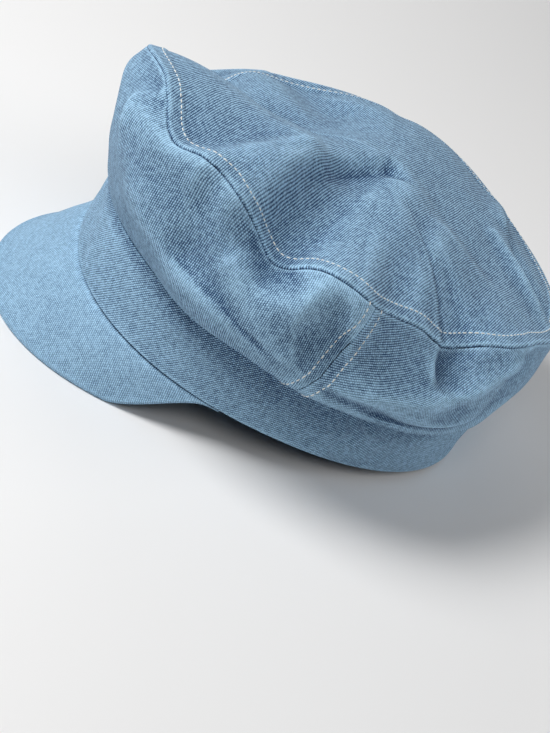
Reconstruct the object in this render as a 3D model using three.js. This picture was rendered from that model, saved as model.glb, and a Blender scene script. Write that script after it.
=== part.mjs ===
// Soft denim cadet cap, resting on its peak and on the back of its band.
// Millimetres. Each piece is shaped in the cap's own frame: the lower edge of the band lies in z = 0,
// -Y is the front, +X is the wearer's left and +Z is up. The last group tips the cap back to its rest.
// An azimuth is measured in degrees from the front, and grows towards the wearer's left.

import * as THREE from 'three';

// Driving sizes
const rimHalfLength = 103;
const rimHalfWidth = 86;
const rimPower = 2.2;
const bandHeight = 35;
const bandWall = 2.5;
const crownWall = 1.6;
const peakWall = 3;
const gap = 0.3;
const restTilt = 9;
const restSink = 1.2;

// Mesh steps, and the two side seams, which lie on a step
const azimuthStep = 4;
const sideSteps = 10;
const topSteps = 9;
const bandSteps = 2;
const peakSteps = 4;
const peakAcross = 32;
const slopeProbe = 0.01;
const sideSeamAzimuth = 22 * azimuthStep;

// Peak: how far it reaches out from the band, and where it starts and leaves the floor
const peakReach = 29;
const peakHalfAngle = 72;
const peakPower = 2.2;
const peakFloorShare = 0.62;
const peakEndDrop = 1.5;

// Top panel: its middle, how it slopes to the back and leans to the wearer's left, and its dome
const topMiddle = { x: 0, y: 1, z: 84 };
const topSlope = -0.158;
const topLean = -0.13;
const topDome = 13;
const seamWavePower = 2.4;

// Side of the crown: where it starts on the band, what share of its height each stretch takes, how far
// its last stretch turns in over the top, and by how many degrees the side seams lean to the front
const crownInset = 1;
const foldShare = 0.22;
const bulgeShare = 0.62;
const turnIn = 0.6;
const sideSeamLean = 7;

// Section of the crown's side at each azimuth: the fold that hangs over the band and the widest bulge
// out is the distance outside the rim, up is the height over it
const sections = [
  { azimuth: 0, foldOut: 4.2, foldUp: 37.5, bulgeOut: 18.8, bulgeUp: 83.8 },
  { azimuth: 30, foldOut: 2.9, foldUp: 38.4, bulgeOut: 19.1, bulgeUp: 64.5 },
  { azimuth: 60, foldOut: 14.9, foldUp: 41.3, bulgeOut: 20.9, bulgeUp: 56.1 },
  { azimuth: 90, foldOut: 22.6, foldUp: 42.6, bulgeOut: 22.2, bulgeUp: 52.9 },
  { azimuth: 120, foldOut: 17, foldUp: 38.9, bulgeOut: 20.2, bulgeUp: 50.2 },
  { azimuth: 150, foldOut: 4.5, foldUp: 40.5, bulgeOut: 6.4, bulgeUp: 52.5 },
  { azimuth: 180, foldOut: 11.3, foldUp: 39.2, bulgeOut: 14.8, bulgeUp: 47.7 },
  { azimuth: 210, foldOut: 16, foldUp: 38, bulgeOut: 22, bulgeUp: 48 },
  { azimuth: 240, foldOut: 20, foldUp: 40, bulgeOut: 28, bulgeUp: 56 },
  { azimuth: 270, foldOut: 22, foldUp: 41, bulgeOut: 32, bulgeUp: 62 },
  { azimuth: 300, foldOut: 15.4, foldUp: 39, bulgeOut: 20.6, bulgeUp: 54 },
  { azimuth: 330, foldOut: 7.2, foldUp: 38, bulgeOut: 13.7, bulgeUp: 59.7 },
];

// Seam between the crown's side and its top panel
const seam = [
  { azimuth: 0, out: 16.2, up: 99 },
  { azimuth: 15, out: 13.1, up: 104.9 },
  { azimuth: 30, out: 11.5, up: 93.3 },
  { azimuth: 38, out: 7.3, up: 97 },
  { azimuth: 46, out: 2.5, up: 92.3 },
  { azimuth: 54, out: 1.1, up: 83.7 },
  { azimuth: 62, out: 3.3, up: 77 },
  { azimuth: 70, out: -0.9, up: 79.8 },
  { azimuth: 80, out: 2.1, up: 85 },
  { azimuth: 90, out: 6.3, up: 84.9 },
  { azimuth: 105, out: 2.4, up: 82 },
  { azimuth: 116, out: -1.1, up: 75 },
  { azimuth: 124, out: -1.8, up: 76.8 },
  { azimuth: 132, out: -1.8, up: 80 },
  { azimuth: 150, out: -0.4, up: 79.5 },
  { azimuth: 180, out: 13.9, up: 66.2 },
  { azimuth: 210, out: 26.4, up: 64.6 },
  { azimuth: 240, out: 16.1, up: 80.5 },
  { azimuth: 270, out: 9.8, up: 80.8 },
  { azimuth: 300, out: 10.5, up: 71.5 },
  { azimuth: 330, out: -4.2, up: 69.3 },
];

// Folds of the side: a soft ridge, or a hollow where rise is negative, along a bowed line from one
// azimuth and share of the height to another. over and under are its half widths on its two sides.
const sideFolds = [
  { fromAzimuth: 49, fromShare: 0.95, toAzimuth: 73, toShare: 0.81, bow: -3, rise: 11.1, over: 15, under: 11 },
  { fromAzimuth: 55, fromShare: 0.92, toAzimuth: 75, toShare: 0.72, bow: 4, rise: -8.6, over: 10, under: 10 },
  { fromAzimuth: 73, fromShare: 0.78, toAzimuth: 82, toShare: 0.95, bow: 8, rise: 14.2, over: 14, under: 15 },
  { fromAzimuth: 47, fromShare: 0.66, toAzimuth: 69, toShare: 0.64, bow: 4, rise: -4.6, over: 11, under: 10 },
  { fromAzimuth: 105, fromShare: 0.42, toAzimuth: 147, toShare: 0.8, bow: -11, rise: -3.9, over: 10, under: 17 },
  { fromAzimuth: 118, fromShare: 1.01, toAzimuth: 117, toShare: 0.78, bow: -8, rise: 6.2, over: 10, under: 8 },
  { fromAzimuth: 121, fromShare: 1.04, toAzimuth: 118, toShare: 0.75, bow: -9, rise: -7.6, over: 13, under: 8 },
  { fromAzimuth: 18, fromShare: 0.79, toAzimuth: 38, toShare: 0.95, bow: 5, rise: 7.1, over: 7, under: 11 },
  { fromAzimuth: 113.5, fromShare: 1.01, toAzimuth: 111, toShare: 0.82, bow: 0, rise: 1.3, over: 3, under: 3 },
  { fromAzimuth: 117, fromShare: 1.01, toAzimuth: 114.5, toShare: 0.82, bow: 0, rise: -0.7, over: 3, under: 3 },
  { fromAzimuth: 55, fromShare: 0.79, toAzimuth: 75, toShare: 0.59, bow: 0, rise: 1.4, over: 4, under: 5 },
  { fromAzimuth: 94, fromShare: 0.64, toAzimuth: 136, toShare: 0.86, bow: -1.5, rise: 4.4, over: 11, under: 8 },
  { fromAzimuth: 139, fromShare: 0.9, toAzimuth: 146, toShare: 0.97, bow: 0, rise: 2.8, over: 9, under: 7 },
  { fromAzimuth: 97, fromShare: 0.65, toAzimuth: 141, toShare: 0.91, bow: -3, rise: 2.2, over: 4.5, under: 2.6 },
  { fromAzimuth: 15.5, fromShare: 0.83, toAzimuth: 19, toShare: 0.96, bow: 0, rise: 1.2, over: 3, under: 3 },
  { fromAzimuth: 200, fromShare: 0.7, toAzimuth: 245, toShare: 0.62, bow: 5, rise: 4, over: 9, under: 5 },
  { fromAzimuth: 256, fromShare: 0.9, toAzimuth: 268, toShare: 0.5, bow: 0, rise: -4, over: 8, under: 9 },
  { fromAzimuth: 296, fromShare: 0.86, toAzimuth: 322, toShare: 0.6, bow: 3, rise: 4, over: 8, under: 6 },
  { fromAzimuth: 338, fromShare: 0.5, toAzimuth: 348, toShare: 0.85, bow: 0, rise: -3, over: 9, under: 9 },
];

// Folds of the top panel, from one point of the plan to another
const topFolds = [
  { fromX: 72, fromY: -79, toX: 30, toY: -40, bow: -3, rise: 8.3, over: 18, under: 11 },
  { fromX: 82, fromY: -55, toX: -5, toY: 5, bow: 10, rise: -6.4, over: 6.5, under: 12 },
  { fromX: 100, fromY: -18, toX: 3, toY: 11, bow: -7, rise: 6, over: 13, under: 16 },
  { fromX: -78, fromY: 91, toX: 18, toY: 115, bow: -21, rise: 4.7, over: 4, under: 10 },
  { fromX: 57, fromY: 53, toX: 18, toY: 62, bow: 3, rise: -2.4, over: 15, under: 9 },
  { fromX: -84, fromY: -33, toX: -25, toY: -49, bow: 17, rise: -14.5, over: 27, under: 29 },
  { fromX: 81, fromY: 21, toX: 22, toY: 35, bow: 2, rise: 6.9, over: 11, under: 25 },
  { fromX: 69, fromY: -91, toX: 18, toY: -40, bow: 0, rise: 1.3, over: 3.5, under: 4 },
  { fromX: 80, fromY: 34, toX: 43, toY: 29, bow: 0, rise: 0.8, over: 10, under: 6 },
  { fromX: -22, fromY: 72, toX: 22, toY: 101, bow: 2, rise: 2.2, over: 4, under: 5 },
  { fromX: -34, fromY: 80, toX: 12, toY: 111, bow: 2, rise: -4, over: 8, under: 7 },
];
const sideFoldMmPerDegree = 1.9;
const sideFoldMmPerShare = 80;
const sideFoldStart = 0.25;
const topFoldEdgePower = 6;

const radians = THREE.MathUtils.degToRad;
const tiltSine = Math.sin(radians(restTilt));
const tiltCosine = Math.cos(radians(restTilt));
const floorLift = rimHalfLength * tiltSine - restSink;

const smoothStep = (share) => {
  const t = THREE.MathUtils.clamp(share, 0, 1);
  return t * t * (3 - 2 * t);
};

// A smooth closed curve through one column of a table whose rows stand at growing azimuths
function around(table, column) {
  const count = table.length;
  const row = (k) => table[((k % count) + count) % count];
  const azimuthOf = (k) => row(k).azimuth + 360 * Math.floor(k / count);
  const valueOf = (k) => row(k)[column];
  const slopeOf = (k) => (valueOf(k + 1) - valueOf(k - 1)) / (azimuthOf(k + 1) - azimuthOf(k - 1));
  return (azimuth) => {
    const turned = ((azimuth % 360) + 360) % 360;
    let k = count - 1;
    while (azimuthOf(k) > turned) k -= 1;
    const width = azimuthOf(k + 1) - azimuthOf(k);
    const t = (turned - azimuthOf(k)) / width;
    const t2 = t * t;
    const t3 = t2 * t;
    return valueOf(k) * (2 * t3 - 3 * t2 + 1) + valueOf(k + 1) * (3 * t2 - 2 * t3)
      + width * (slopeOf(k) * (t3 - 2 * t2 + t) + slopeOf(k + 1) * (t3 - t2));
  };
}

const foldOut = around(sections, 'foldOut');
const foldUp = around(sections, 'foldUp');
const bulgeOut = around(sections, 'bulgeOut');
const bulgeUp = around(sections, 'bulgeUp');
const seamOut = around(seam, 'out');
const seamUp = around(seam, 'up');

// Distance of the rim from the cap's upright axis
function rimRadius(azimuth) {
  const across = Math.abs(Math.sin(radians(azimuth)) / rimHalfWidth) ** rimPower;
  const along = Math.abs(Math.cos(radians(azimuth)) / rimHalfLength) ** rimPower;
  return (across + along) ** (-1 / rimPower);
}

const outward = (azimuth) => new THREE.Vector3(Math.sin(radians(azimuth)), -Math.cos(radians(azimuth)), 0);

function ringPoint(azimuth, out, up) {
  return outward(azimuth).multiplyScalar(rimRadius(azimuth) + out).setZ(up);
}

// How far a fold lifts the cloth at a point, both in millimetres on a flat pattern
function foldRise(fold, x, y, fromX, fromY, toX, toY) {
  const length = Math.hypot(toX - fromX, toY - fromY);
  const alongX = (toX - fromX) / length;
  const alongY = (toY - fromY) / length;
  const travel = (x - fromX) * alongX + (y - fromY) * alongY;
  const t = THREE.MathUtils.clamp(travel / length, 0, 1);
  const beyond = travel - t * length;
  const aside = (y - fromY) * alongX - (x - fromX) * alongY - fold.bow * 4 * t * (1 - t);
  const half = aside > 0 ? fold.over : fold.under;
  return fold.rise * Math.exp(-((aside / half) ** 2) - (beyond / fold.over) ** 2);
}

function sideFoldRise(azimuth, share) {
  const y = share * sideFoldMmPerShare;
  const rise = sideFolds.reduce((sum, fold) => {
    const middle = (fold.fromAzimuth + fold.toAzimuth) / 2;
    const turned = azimuth - 360 * Math.round((azimuth - middle) / 360);
    return sum + foldRise(fold, turned * sideFoldMmPerDegree, y,
      fold.fromAzimuth * sideFoldMmPerDegree, fold.fromShare * sideFoldMmPerShare,
      fold.toAzimuth * sideFoldMmPerDegree, fold.toShare * sideFoldMmPerShare);
  }, 0);
  return rise * smoothStep(share / sideFoldStart);
}

function topFoldRise(x, y) {
  return topFolds.reduce(
    (sum, fold) => sum + foldRise(fold, x, y, fold.fromX, fold.fromY, fold.toX, fold.toY), 0);
}

// One stretch of a smooth curve between two points, with its directions at both ends
function stretchPoint(from, to, leave, arrive, t) {
  const t2 = t * t;
  const t3 = t2 * t;
  const length = from.distanceTo(to);
  return new THREE.Vector2()
    .addScaledVector(from, 2 * t3 - 3 * t2 + 1)
    .addScaledVector(to, 3 * t2 - 2 * t3)
    .addScaledVector(leave, length * (t3 - 2 * t2 + t))
    .addScaledVector(arrive, length * (t3 - t2));
}

const halfway = (first, second) => first.clone().add(second).normalize();

// Outer surface of the crown's side, share 0 on the band and 1 at the top seam. x is the distance
// outside the rim and y the height.
function profile(azimuth, share) {
  const knots = [
    new THREE.Vector2(-crownInset, bandHeight + gap),
    new THREE.Vector2(foldOut(azimuth), foldUp(azimuth)),
    new THREE.Vector2(bulgeOut(azimuth), bulgeUp(azimuth)),
    new THREE.Vector2(seamOut(azimuth), seamUp(azimuth)),
  ];
  const chord = (k) => knots[k + 1].clone().sub(knots[k]);
  const level = new THREE.Vector2(1, 0);
  const beyondSeam = chord(2).multiplyScalar(1 + turnIn).addScaledVector(level, -turnIn).normalize();
  const ways = [level, halfway(chord(0), chord(1)), halfway(chord(1), chord(2)), halfway(chord(2), beyondSeam)];
  const shares = [0, foldShare, bulgeShare, 1];
  let k = 0;
  while (k < 2 && share > shares[k + 1]) k += 1;
  const t = (share - shares[k]) / (shares[k + 1] - shares[k]);
  return stretchPoint(knots[k], knots[k + 1], ways[k], ways[k + 1], t);
}

function sidePoint(azimuth, share) {
  const here = profile(azimuth, share);
  const low = profile(azimuth, Math.max(share - slopeProbe, 0));
  const high = profile(azimuth, Math.min(share + slopeProbe, 1));
  const along = high.sub(low).normalize();
  const rise = sideFoldRise(azimuth, share);
  return ringPoint(azimuth, here.x + rise * along.y, here.y - rise * along.x);
}

// Outer surface of the top panel, share 1 at the seam and 0 in the middle
function topPoint(azimuth, share) {
  const edge = sidePoint(azimuth, 1);
  const x = topMiddle.x + (edge.x - topMiddle.x) * share;
  const y = topMiddle.y + (edge.y - topMiddle.y) * share;
  const plane = (px, py) => topMiddle.z + topSlope * py + topLean * px;
  const wave = (edge.z - plane(edge.x, edge.y)) * share ** seamWavePower;
  const dome = topDome * (1 - share * share);
  const folds = topFoldRise(x, y) * (1 - share ** topFoldEdgePower);
  return new THREE.Vector3(x, y, plane(x, y) + dome + wave + folds);
}

// Outward normal of a surface given by azimuth and share, with share growing up or inwards
function surfaceNormal(point, azimuth, share) {
  const turn = slopeProbe * 20;
  const around1 = point(azimuth + turn, share).sub(point(azimuth - turn, share));
  const low = Math.max(share - slopeProbe, 0);
  const high = Math.min(share + slopeProbe, 1);
  const across = point(azimuth, high).sub(point(azimuth, low));
  return around1.cross(across).normalize();
}

const sideNormal = (azimuth, share) => surfaceNormal(sidePoint, azimuth, share);

function topNormal(azimuth, share) {
  const kept = Math.max(share, 2 * slopeProbe);
  return surfaceNormal(topPoint, azimuth, kept).negate();
}

// A closed wall between an outer and an inner grid of points. Rows go round the cap and each row's
// points go across the piece. wrap joins the last row to the first, pole makes each last point one.
// Each square is split along the shorter diagonal of its outer face, so that folds stay smooth, and
// the squares of the two ends along the same one, so that an end lies evenly beside the next panel's.
function wallGeometry(outer, inner, { wrap = false, pole = false } = {}) {
  const rows = outer.length;
  const columns = outer[0].length;
  const last = columns - 1;
  const points = [...outer.flat(), ...inner.flat()];
  const at = (face, i, j) => {
    const row = pole && j === last ? 0 : i % rows;
    return (face * rows + row) * columns + j;
  };
  const index = [];
  const triangle = (a, b, c) => {
    if (a !== b && b !== c && c !== a) index.push(a, b, c);
  };
  const quad = (a, b, c, d, turned = false) => {
    if (turned) {
      triangle(b, c, d);
      triangle(b, d, a);
    } else {
      triangle(a, b, c);
      triangle(a, c, d);
    }
  };
  const spans = wrap ? rows : rows - 1;
  for (let i = 0; i < spans; i += 1) {
    for (let j = 0; j < last; j += 1) {
      const corners = [at(0, i, j), at(0, i + 1, j), at(0, i + 1, j + 1), at(0, i, j + 1)];
      const [a, b, c, d] = corners.map((k) => points[k]);
      const turned = b.distanceTo(d) < a.distanceTo(c);
      quad(...corners, turned);
      quad(at(1, i, j), at(1, i, j + 1), at(1, i + 1, j + 1), at(1, i + 1, j), turned);
    }
    quad(at(1, i, 0), at(1, i + 1, 0), at(0, i + 1, 0), at(0, i, 0));
    if (!pole) quad(at(1, i, last), at(0, i, last), at(0, i + 1, last), at(1, i + 1, last));
  }
  if (!wrap) {
    for (let j = 0; j < last; j += 1) {
      quad(at(1, 0, j), at(0, 0, j), at(0, 0, j + 1), at(1, 0, j + 1));
      quad(at(0, rows - 1, j), at(1, rows - 1, j), at(1, rows - 1, j + 1), at(0, rows - 1, j + 1), true);
    }
  }
  const geometry = new THREE.BufferGeometry();
  geometry.setAttribute('position', new THREE.Float32BufferAttribute(points.flatMap((p) => [p.x, p.y, p.z]), 3));
  geometry.setIndex(index);
  geometry.computeVertexNormals();
  return geometry;
}

const steps = (count) => Array.from({ length: count + 1 }, (_, k) => k / count);

// The mitre at the top seam: both panels end on it, half a gap to each side
function seamMitre(azimuth) {
  const side = sideNormal(azimuth, 1);
  const top = topNormal(azimuth, 1);
  const along = sidePoint(azimuth + slopeProbe, 1).sub(sidePoint(azimuth - slopeProbe, 1)).normalize();
  const depth = side.clone().add(top).multiplyScalar(crownWall / (1 + side.dot(top)));
  const apart = side.clone().add(top).cross(along).setLength(gap / 2);
  return { depth, apart };
}

// Azimuth at a share of the height of the line that leans up to an azimuth of the top seam
const leanedAzimuth = (topAzimuth, share) =>
  topAzimuth - sideSeamLean * Math.sin(radians(topAzimuth)) * (1 - share);

// The way across a leaned line of the side, level with the cloth and square to the line
function acrossLine(topAzimuth, share) {
  const on = (s) => sidePoint(leanedAzimuth(topAzimuth, s), s);
  const along = on(Math.min(share + slopeProbe, 1)).sub(on(Math.max(share - slopeProbe, 0)));
  return along.cross(sideNormal(leanedAzimuth(topAzimuth, share), share)).normalize();
}

// Side panel between two azimuths of the top seam, each end cut with half a gap to the next panel
function sidePanel(fromAzimuth, toAzimuth) {
  const spans = Math.round((toAzimuth - fromAzimuth) / azimuthStep);
  const outer = [];
  const inner = [];
  steps(spans).forEach((part, i) => {
    const topAzimuth = fromAzimuth + (toAzimuth - fromAzimuth) * part;
    const isEnd = i === 0 || i === spans;
    const endShift = isEnd ? (gap / 2) * (i === 0 ? 1 : -1) : 0;
    const outerRow = [];
    const innerRow = [];
    steps(sideSteps).forEach((share, j) => {
      const azimuth = leanedAzimuth(topAzimuth, share);
      const across = acrossLine(topAzimuth, share);
      const intoCut = (v) => (isEnd ? v.addScaledVector(across, -v.dot(across)) : v);
      const point = sidePoint(azimuth, share);
      let depth = sideNormal(azimuth, share).multiplyScalar(crownWall);
      if (j === sideSteps) {
        const mitre = seamMitre(azimuth);
        depth = mitre.depth;
        point.sub(intoCut(mitre.apart));
      }
      point.addScaledVector(across, endShift);
      outerRow.push(point);
      innerRow.push(point.clone().sub(intoCut(depth)));
    });
    outer.push(outerRow);
    inner.push(innerRow);
  });
  return wallGeometry(outer, inner);
}

function topPanel() {
  const outer = [];
  const inner = [];
  for (let azimuth = 0; azimuth < 360; azimuth += azimuthStep) {
    const mitre = seamMitre(azimuth);
    const outerRow = [];
    const innerRow = [];
    steps(topSteps).forEach((part, j) => {
      const share = 1 - part;
      const point = topPoint(azimuth, share);
      if (j === 0) point.add(mitre.apart);
      const depth = j === 0 ? mitre.depth : topNormal(azimuth, share).multiplyScalar(crownWall);
      outerRow.push(point);
      innerRow.push(point.clone().sub(depth));
    });
    outer.push(outerRow);
    inner.push(innerRow);
  }
  return wallGeometry(outer, inner, { wrap: true, pole: true });
}

// Height of the floor in the cap's own frame, and the lower edge of the band, flat where it rests
const floorUp = (y) => (y * tiltSine - floorLift) / tiltCosine;

function bandGeometry() {
  const outer = [];
  const inner = [];
  for (let azimuth = 0; azimuth < 360; azimuth += azimuthStep) {
    const row = (out) => steps(bandSteps).map((share) => {
      const foot = ringPoint(azimuth, out, 0);
      foot.z = Math.max(0, floorUp(foot.y));
      const head = ringPoint(azimuth, out, bandHeight);
      return foot.lerp(head, share);
    });
    outer.push(row(0));
    inner.push(row(-bandWall));
  }
  return wallGeometry(outer, inner, { wrap: true });
}

// Peak: its outer edge lies on the floor in front, and rises to the band at its two ends
function peakGeometry() {
  const outer = [];
  const inner = [];
  steps(peakAcross).forEach((part) => {
    const side = 2 * part - 1;
    const azimuth = side * peakHalfAngle;
    const reach = peakReach * (1 - side * side) ** peakPower;
    const edge = ringPoint(azimuth, reach, 0);
    const onFloor = smoothStep((1 - Math.abs(side)) / (1 - peakFloorShare));
    const drop = Math.min(floorUp(edge.y) * onFloor, -gap - peakEndDrop);
    const slope = Math.hypot(reach, drop);
    const outerRow = [];
    const innerRow = [];
    steps(peakSteps).forEach((step) => {
      const share = 1 - step;
      const up = -gap + (drop + gap) * share;
      const above = ringPoint(azimuth, reach * share, up);
      const level = Math.min(peakWall * slope / -drop, bandWall + (peakWall + 1) * share);
      const below = ringPoint(azimuth, reach * share - level, up);
      below.z += (floorUp(below.y) - floorUp(above.y)) * share * onFloor;
      outerRow.push(above);
      innerRow.push(below);
    });
    outer.push(outerRow);
    inner.push(innerRow);
  });
  return wallGeometry(outer, inner);
}

function clothMaterial(colour) {
  return new THREE.MeshStandardMaterial({ color: colour, roughness: 0.95, metalness: 0 });
}

function piece(name, geometry, material) {
  const mesh = new THREE.Mesh(geometry, material);
  mesh.name = name;
  return mesh;
}

const crownCloth = clothMaterial(0x82a4c1);
const bandCloth = clothMaterial(0x7598b8);
const peakCloth = clothMaterial(0x8caec9);

const cap = new THREE.Group();
cap.name = 'cadet_cap';
cap.add(piece('top_panel', topPanel(), crownCloth));
cap.add(piece('side_front', sidePanel(-sideSeamAzimuth, sideSeamAzimuth), crownCloth));
cap.add(piece('side_back', sidePanel(sideSeamAzimuth, 360 - sideSeamAzimuth), crownCloth));
cap.add(piece('band', bandGeometry(), bandCloth));
cap.add(piece('peak', peakGeometry(), peakCloth));
cap.rotation.x = -radians(restTilt);

// The origin lies on the floor under the middle of the cap's box
const box = new THREE.Box3().setFromObject(cap, true);
const middle = box.getCenter(new THREE.Vector3());
cap.position.set(-middle.x, -middle.y, floorLift);

const scene = new THREE.Group();
scene.name = 'resting_cap';
scene.add(cap);

export default scene;
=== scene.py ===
import math

import bmesh
import bpy
import numpy as np
from mathutils import Matrix, Vector


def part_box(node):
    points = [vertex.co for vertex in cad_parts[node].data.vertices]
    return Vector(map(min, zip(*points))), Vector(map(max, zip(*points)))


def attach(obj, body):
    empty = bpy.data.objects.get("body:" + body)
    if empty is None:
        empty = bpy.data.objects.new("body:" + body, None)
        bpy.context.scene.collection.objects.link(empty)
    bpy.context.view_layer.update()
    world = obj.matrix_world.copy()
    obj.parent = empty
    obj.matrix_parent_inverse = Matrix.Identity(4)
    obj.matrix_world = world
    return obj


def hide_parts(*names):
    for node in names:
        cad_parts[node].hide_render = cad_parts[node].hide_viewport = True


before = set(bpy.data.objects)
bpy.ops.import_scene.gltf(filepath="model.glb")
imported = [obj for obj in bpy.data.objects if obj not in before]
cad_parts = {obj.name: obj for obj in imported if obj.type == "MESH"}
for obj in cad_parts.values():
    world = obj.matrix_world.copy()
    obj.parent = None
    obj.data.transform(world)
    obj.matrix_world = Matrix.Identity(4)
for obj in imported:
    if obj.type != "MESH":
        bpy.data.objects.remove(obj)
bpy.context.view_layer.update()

bl_info = {
    "name": "Denim cadet cap",
    "version": (1, 0, 0),
    "blender": (4, 5, 0),
    "location": "3D View > Sidebar > Cadet cap",
    "description": "Dresses the solids of a soft cadet cap in washed denim, with seams, folds and stitches",
    "category": "Object",
}

MM = 0.001


def rows_of(columns, table):
    """Each row of a table as a dictionary of its named columns."""
    return [dict(zip(columns, row)) for row in table]


# Driving sizes of the cap in millimetres, degrees and shares. They are the solids' sizes, in the cap's own
# frame: the band's lower edge lies in z = 0, -Y is the front and +X the wearer's left.
RIM_HALF_LENGTH = 103.0
RIM_HALF_WIDTH = 86.0
RIM_POWER = 2.2
BAND_HEIGHT = 35.0
BAND_WALL = 2.5
CROWN_WALL = 1.6
PEAK_WALL = 3.0
GAP = 0.3
REST_TILT = math.radians(9.0)
REST_SINK = 1.2
FLOOR_LIFT = RIM_HALF_LENGTH * math.sin(REST_TILT) - REST_SINK
SIDE_SEAM_AZIMUTH = 88.0
SIDE_SEAM_LEAN = 7.0

PEAK_REACH = 29.0
PEAK_HALF_ANGLE = 72.0
PEAK_POWER = 2.2
PEAK_FLOOR_SHARE = 0.62
PEAK_END_DROP = 0.4
PEAK_TUCK = 1.5
PEAK_EDGE_PINCH = 0.5
PEAK_FLOOR_CLEAR = 0.02

TOP_MIDDLE = (0.0, 1.0, 84.0)
TOP_SLOPE = -0.158
TOP_LEAN = -0.13
TOP_DOME = 13.0
SEAM_WAVE_POWER = 2.4

CROWN_INSET = 1.0
CROWN_LIFT = 0.4
FOLD_SHARE = 0.22
BULGE_SHARE = 0.62
SEAM_TURN = -0.6
PROBE = 0.01

# Section of the crown's side at each azimuth from the front: the fold over the band, the widest bulge
SECTIONS = rows_of(("azimuth", "fold_out", "fold_up", "bulge_out", "bulge_up"), (
    (0, 4.2, 37.5, 18.8, 83.8),
    (30, 2.9, 38.4, 19.1, 64.5),
    (60, 14.9, 41.3, 20.9, 56.1),
    (90, 22.6, 42.6, 22.2, 52.9),
    (120, 17, 38.9, 20.2, 50.2),
    (150, 4.5, 40.5, 6.4, 52.5),
    (180, 11.3, 39.2, 14.8, 47.7),
    (210, 16, 38, 22, 48),
    (240, 20, 40, 28, 56),
    (270, 22, 41, 32, 62),
    (300, 15.4, 39, 20.6, 54),
    (330, 7.2, 38, 13.7, 59.7),
))

# Seam between the crown's side and its top panel
SEAM = rows_of(("azimuth", "out", "up"), (
    (0, 16.2, 99),
    (15, 13.1, 104.9),
    (30, 11.5, 93.3),
    (38, 7.3, 97),
    (46, 2.5, 92.3),
    (54, 1.1, 83.7),
    (62, 3.3, 77),
    (70, -0.9, 79.8),
    (80, 2.1, 85),
    (90, 6.3, 84.9),
    (105, 2.4, 82),
    (116, -1.1, 75),
    (124, -1.8, 76.8),
    (132, -1.8, 80),
    (150, -0.4, 79.5),
    (180, 13.9, 66.2),
    (210, 26.4, 64.6),
    (240, 16.1, 80.5),
    (270, 9.8, 80.8),
    (300, 10.5, 71.5),
    (330, -4.2, 69.3),
))

# Folds of the side, from one azimuth and share of the height to another; over and under are half widths
SIDE_FOLDS = rows_of(
    ("from_azimuth", "from_share", "to_azimuth", "to_share", "bow", "rise", "over", "under"), (
    (49, 0.95, 73, 0.81, -3, 11.1, 15, 11),
    (55, 0.92, 75, 0.72, 4, -8.6, 10, 10),
    (73, 0.78, 82, 0.95, 8, 14.2, 14, 15),
    (47, 0.66, 69, 0.64, 4, -4.6, 11, 10),
    (105, 0.42, 147, 0.8, -11, -3.9, 10, 17),
    (118, 1.01, 117, 0.78, -8, 6.2, 10, 8),
    (121, 1.04, 118, 0.75, -9, -7.6, 13, 8),
    (18, 0.79, 38, 0.95, 5, 7.1, 7, 11),
    (113.5, 1.01, 111, 0.82, 0, 1.3, 3, 3),
    (117, 1.01, 114.5, 0.82, 0, -0.7, 3, 3),
    (55, 0.79, 75, 0.59, 0, 1.4, 4, 5),
    (94, 0.64, 136, 0.86, -1.5, 4.4, 11, 8),
    (139, 0.9, 146, 0.97, 0, 2.8, 9, 7),
    (97, 0.65, 141, 0.91, -3, 2.2, 4.5, 2.6),
    (15.5, 0.83, 19, 0.96, 0, 1.2, 3, 3),
    (200, 0.7, 245, 0.62, 5, 4, 9, 5),
    (256, 0.9, 268, 0.5, 0, -4, 8, 9),
    (296, 0.86, 322, 0.6, 3, 4, 8, 6),
    (338, 0.5, 348, 0.85, 0, -3, 9, 9),
))

# Folds of the top panel, from one point of the plan to another
TOP_FOLDS = rows_of(("from_x", "from_y", "to_x", "to_y", "bow", "rise", "over", "under"), (
    (72, -79, 30, -40, -3, 8.3, 18, 11),
    (82, -55, -5, 5, 10, -6.4, 6.5, 12),
    (100, -18, 3, 11, -7, 6, 13, 16),
    (-78, 91, 18, 115, -21, 4.7, 4, 10),
    (57, 53, 18, 62, 3, -2.4, 15, 9),
    (-84, -33, -25, -49, 17, -14.5, 27, 29),
    (81, 21, 22, 35, 2, 6.9, 11, 25),
    (69, -91, 18, -40, 0, 1.3, 3.5, 4),
    (80, 34, 43, 29, 0, 0.8, 10, 6),
    (-22, 72, 22, 101, 2, 2.2, 4, 5),
    (-34, 80, 12, 111, 2, -4, 8, 7),
))
SIDE_FOLD_MM_PER_DEGREE = 1.9
SIDE_FOLD_MM_PER_SHARE = 80.0
SIDE_FOLD_START = 0.25
TOP_FOLD_EDGE_POWER = 6

# Seams: how far the rolled edges sink, and the raised strip over the turned-in cloth
ROLL_RADIUS = 1.4
SIDE_ROLL = 0.8
BAND_ROLL = 0.8
TOP_STRIP_WIDTH = 7.0
TOP_STRIP_RAISE = 0.7
SIDE_STRIP_WIDTH = 6.0
SIDE_STRIP_RAISE = 0.5
STRIP_EASE = 2.0

# Wear on ridges and painted shade in hollows: grid steps looked over and strength, for creases and for broad
# humps and hollows
WEAR_AND_SHADE_LEAST_SPAN = 1e-3
WEAR_AND_SHADE_REACH = 2
WEAR_AND_SHADE_GAIN = 14.0
BROAD_WEAR_AND_SHADE_REACH = 8
BROAD_WEAR_AND_SHADE_GAIN = 22.0
BROAD_WEAR_AND_SHADE_MIDDLE = 0.15

# Wear and painted shade: none on the crown's lower edge, and a painted shadow darkens the band where the
# crown overhangs it
EDGE_WEAR_AND_SHADE_SHARE = 0.15
PAINTED_SHADOW_DEPTH = 0.45
PAINTED_SHADOW_FADE = 0.6
PAINTED_SHADOW_FADE_LEAST = 4.0
PAINTED_SHADOW_DARK = 1.4

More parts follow.
